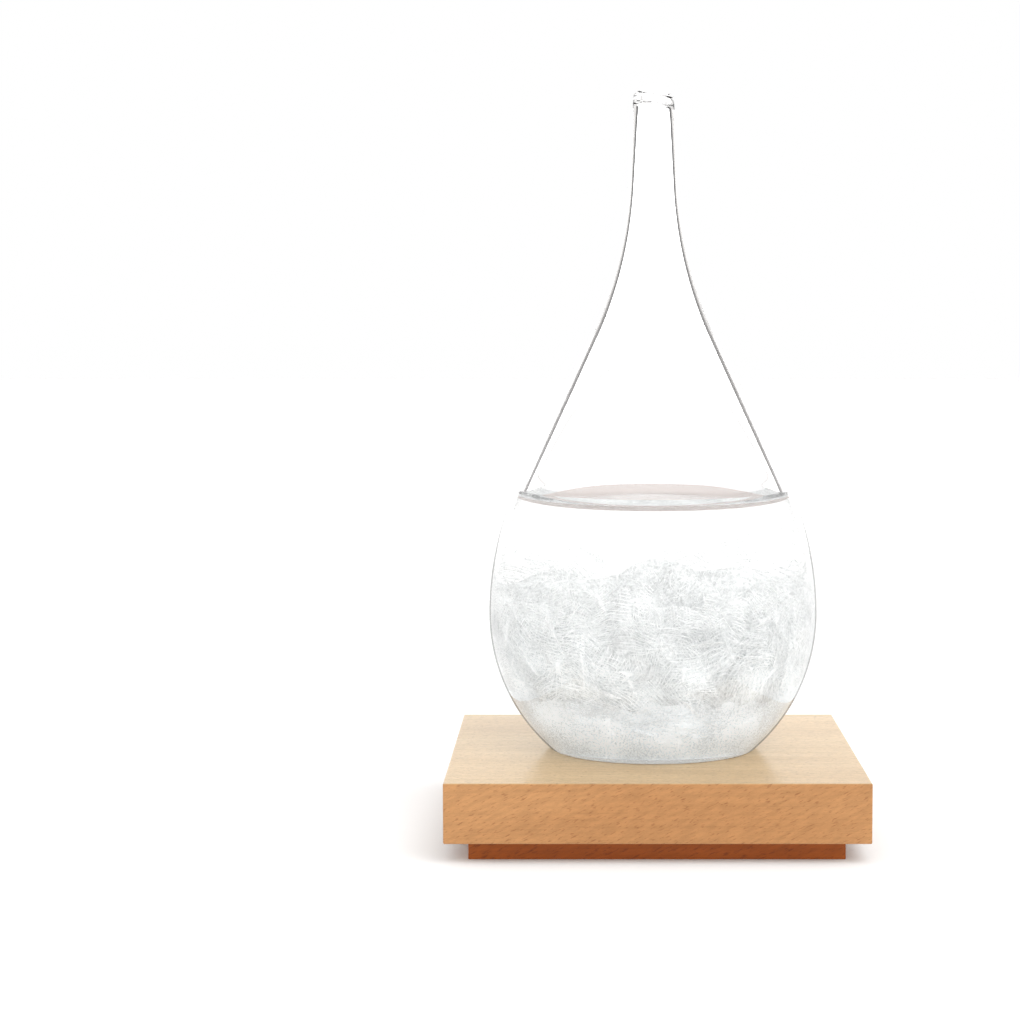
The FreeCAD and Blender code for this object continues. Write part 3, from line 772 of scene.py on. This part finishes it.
def needle(points, faces, path, width):
    """A thin three-sided crystal along a path, pointed at its end."""
    first = len(points)
    for i, spot in enumerate(path[:-1]):
        along = (path[i + 1] - spot).normalized()
        side = along.orthogonal().normalized()
        wide = width * (1 - 0.5 * i / len(path)) / 2
        for turn in range(3):
            points.append(on_slab(spot + (Quaternion(along, 2 * math.pi * turn / 3) @ side) * wide))
    points.append(on_slab(path[-1]))
    faces.append((first, first + 2, first + 1))
    last = first + 3 * (len(path) - 2)
    for low in range(first, last, 3):
        for turn in range(3):
            after = (turn + 1) % 3
            faces.append((low + turn, low + after, low + 3 + after, low + 3 + turn))
    for turn in range(3):
        faces.append((last + turn, last + (turn + 1) % 3, last + 3))


def curve_on_shell(spot, heading, length, bend, lift, steps):
    """A path that leaves a spot (angle, height, depth) on the shell and bends as it goes."""
    angle, height, depth = spot
    path = [shell_point(angle, height, depth)]
    for i in range(steps):
        way = heading + bend * (i + 0.5) / steps
        angle += math.cos(way) * length / steps / inner_radius(height)
        height += math.sin(way) * length / steps
        depth += lift * length / steps
        path.append(shell_point(angle, height, depth))
    return path


def fan(points, faces, spot, draw, size):
    """A brush of near-parallel curved needles, rooted along a short line on the shell."""
    heading = draw.gauss(0, 0.75) + draw.choice((0, math.pi))
    bend = draw.uniform(-0.7, 0.7)
    splay = draw.uniform(0.1, 0.9) * draw.choice((-1, 1))
    across = heading + math.pi / 2 + draw.uniform(-0.5, 0.5)
    count = draw.randint(9, 18)
    gap = draw.uniform(0.4, 0.65) * MM
    angle, height, depth = spot
    for i in range(count):
        along = (i - count / 2) * gap
        root = (
            angle + math.cos(across) * along / inner_radius(height),
            height + math.sin(across) * along,
            depth + draw.uniform(0, 0.35) * MM,
        )
        swell = math.sin(math.pi * (i + 1) / (count + 1)) ** 0.5
        length = size * swell * draw.uniform(0.75, 1.15)
        turn = heading + splay * (i / count - 0.5) + draw.gauss(0, 0.05)
        path = curve_on_shell(root, turn, length, bend, draw.uniform(-0.12, 0.05), 3)
        needle(points, faces, path, NEEDLE_WIDTH * draw.uniform(0.6, 1.2))


def fern(points, faces, spot, draw, size):
    """A feather: a curved spine with barbs that sweep forward on both sides."""
    heading = draw.uniform(0, 2 * math.pi)
    bend = draw.uniform(-0.9, 0.9)
    lean = math.radians(draw.uniform(24, 42))
    spine = curve_on_shell(spot, heading, size, bend, draw.uniform(-0.1, 0.1), 6)
    needle(points, faces, spine, NEEDLE_WIDTH * 1.5)
    count = int(size / (draw.uniform(0.3, 0.42) * MM))
    angle, height, depth = spot
    for i in range(1, count):
        share = i / count
        way = heading + bend * share
        angle += math.cos(way) * size / count / inner_radius(height)
        height += math.sin(way) * size / count
        length = size * 0.42 * (1 - share) ** 0.6 * min(1.0, 0.4 + 3 * share)
        for hand in (-1, 1):
            path = curve_on_shell(
                (angle, height, depth), way + hand * lean, length * draw.uniform(0.75, 1.1),
                -hand * 0.25, draw.uniform(-0.1, 0.1), 2,
            )
            needle(points, faces, path, NEEDLE_WIDTH * draw.uniform(0.55, 0.9))


def mesh_piece(name, points, faces, made):
    """A new object from points and faces, with one material."""
    mesh = bpy.data.meshes.new(name)
    mesh.from_pydata(points, [], faces)
    mesh.materials.append(made)
    piece = bpy.data.objects.new(name, mesh)
    bpy.context.collection.objects.link(piece)
    return piece


def make_fans(made):
    """The brushes and feathers that show through the glass, one feather to three brushes."""
    draw = random.Random(7)
    points, faces = [], []
    for i in range(BRUSHES):
        angle = 2 * math.pi * i * GOLDEN_TURN + draw.uniform(-0.1, 0.1)
        height = FINE_BASE + BRUSH_SPREAD * draw.random() ** 0.8
        depth = draw.uniform(0.15, 1.2) * MM
        share = 1.0 if height < BRUSH_SMALL else SMALL_SHARE
        grow, lengths = (fan, BRUSH_LENGTHS) if i % 4 else (fern, FEATHER_LENGTHS)
        grow(points, faces, (angle, height, depth), draw, draw.uniform(*lengths) * MM * share)
    return mesh_piece("crystal_fans", points, faces, made)


def make_haze(made):
    """Fine short needles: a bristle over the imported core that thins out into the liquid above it."""
    draw = random.Random(11)
    points, faces = [], []
    for _ in range(HAZE_NEEDLES):
        height = FINE_BASE + HAZE_SPREAD * draw.random() ** 1.2
        angle = draw.uniform(0, 2 * math.pi)
        depth = 22 * MM * draw.random() ** 2 if height > CORE_SIDE else draw.uniform(0.1, 1.4) * MM
        path = curve_on_shell(
            (angle, height, depth), draw.uniform(0, 2 * math.pi), draw.uniform(*HAZE_LENGTHS) * MM,
            draw.uniform(-0.5, 0.5), draw.uniform(-0.3, 0.3), 1,
        )
        needle(points, faces, path, draw.uniform(*HAZE_WIDTHS) * MM)
    return mesh_piece("crystal_haze", points, faces, made)


def make_crystals():
    """The settled grains and the three layers of feathery crystals."""
    make_bed()
    fine = frost(
        "crystal_feather", dark=(0.73, 0.74, 0.74), light=(0.98, 0.98, 0.98),
        grain_size=0.6 * MM, depth=0.0, roughness=0.4, strength=0.17,
    )
    for piece in (make_core(), make_fans(fine), make_haze(fine)):
        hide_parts("crystal_feathers")
        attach(piece, "vessel")


# ---------------------------------------------------------------- wooden base

def make_base():
    """Gives the slab and foot, shaped by the CAD, their beech; the foot's darker beech is partly painted
    shade.
    """
    woods = {
        "base_slab": beech("beech_wood", **SLAB_WOOD),
        "base_foot": beech("dark_beech_wood", **FOOT_WOOD),
    }
    for name, wood in woods.items():
        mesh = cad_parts[name].data
        mesh.materials.clear()
        mesh.materials.append(wood)


# ---------------------------------------------------------------- stage

FLOOR_REACH = 3.0
CAMERA_PLACE = (-0.0119, -0.4703, 0.0970)
CAMERA_PITCH = math.radians(90 - 4.60)
CAMERA_LENS = 88.7
CAMERA_SHIFT = -0.078


def make_camera():
    """The camera that looks slightly down at the object, from a little to its left."""
    data = bpy.data.cameras.new("camera")
    camera = bpy.data.objects.new("camera", data)
    bpy.context.collection.objects.link(camera)
    data.lens = CAMERA_LENS
    data.sensor_width = 36.0
    data.shift_x = CAMERA_SHIFT
    data.clip_start = 0.01
    data.clip_end = 20.0
    camera.location = CAMERA_PLACE
    camera.rotation_euler = (CAMERA_PITCH, 0, 0)
    bpy.context.scene.camera = camera


def make_floor():
    """A wide white floor."""
    far = FLOOR_REACH
    corners = [(-far, -far, 0), (far, -far, 0), (far, far, 0), (-far, far, 0)]
    made, shader = simple("pale_floor", (0.97, 0.97, 0.97), 0.9)
    glow(shader, (1, 1, 1), 0.03)
    floor = mesh_piece("floor", corners, [(0, 1, 2, 3)], made)


def area_light(name, place, target, size, power):
    """A rectangular lamp at a place, facing a target."""
    data = bpy.data.lights.new(name, "AREA")
    data.shape = "RECTANGLE"
    data.size, data.size_y = size
    data.energy = power
    light = bpy.data.objects.new(name, data)
    bpy.context.collection.objects.link(light)
    light.location = place
    aim = Vector(target) - Vector(place)
    light.rotation_mode = "QUATERNION"
    light.rotation_quaternion = aim.to_track_quat("-Z", "Y")
    return light


def make_world():
    """White panels on four sides with slightly greyer gaps between them, and white behind it all."""
    world = bpy.data.worlds.new("studio")
    bpy.context.scene.world = world
    world.use_nodes = True
    tree = world.node_tree
    aim = texture_place(tree, "Generated")
    sideways = axis_of(tree, aim, "X")
    onwards = axis_of(tree, aim, "Y")
    across = combine(tree, "MULTIPLY", sideways, sideways)
    away = combine(tree, "MULTIPLY", onwards, onwards)
    difference = combine(tree, "SUBTRACT", across, away)
    share = combine(tree, "DIVIDE", difference, combine(tree, "ADD", across, away))
    squareness = combine(tree, "ABSOLUTE", share, 0.0)
    panels = ramp(tree, squareness, [(0.6, (0.70, 0.685, 0.675)), (0.85, 1.0)])
    bright = mix(tree, 1.0, panels, (WORLD_LIGHT, WORLD_LIGHT, WORLD_LIGHT), "MULTIPLY")
    seen = node(tree, "ShaderNodeLightPath").outputs["Is Camera Ray"]
    back = tree.nodes["Background"]
    put(tree, back.inputs["Color"], mix(tree, seen, bright, (1, 1, 1)))
    back.inputs["Strength"].default_value = 1.0


def make_lights():
    """A large soft light from the front right, and a low one behind for the sheen on the wood."""
    front = area_light(
        "front_light", place=(0.4, -0.6, 0.8), target=(0, 0, 0.05), size=(0.7, 0.7), power=3.7,
    )
    front.visible_glossy = False
    front.visible_transmission = False
    area_light(
        "back_light", place=(0, 1.3, 0.13), target=(0, 0, 0.03), size=(1.8, 0.24), power=3.0,
    )


bpy.context.scene.view_settings.view_transform = "Standard"
make_camera()
make_floor()
make_world()
make_lights()
make_glass()
make_liquid()
make_crystals()
make_base()
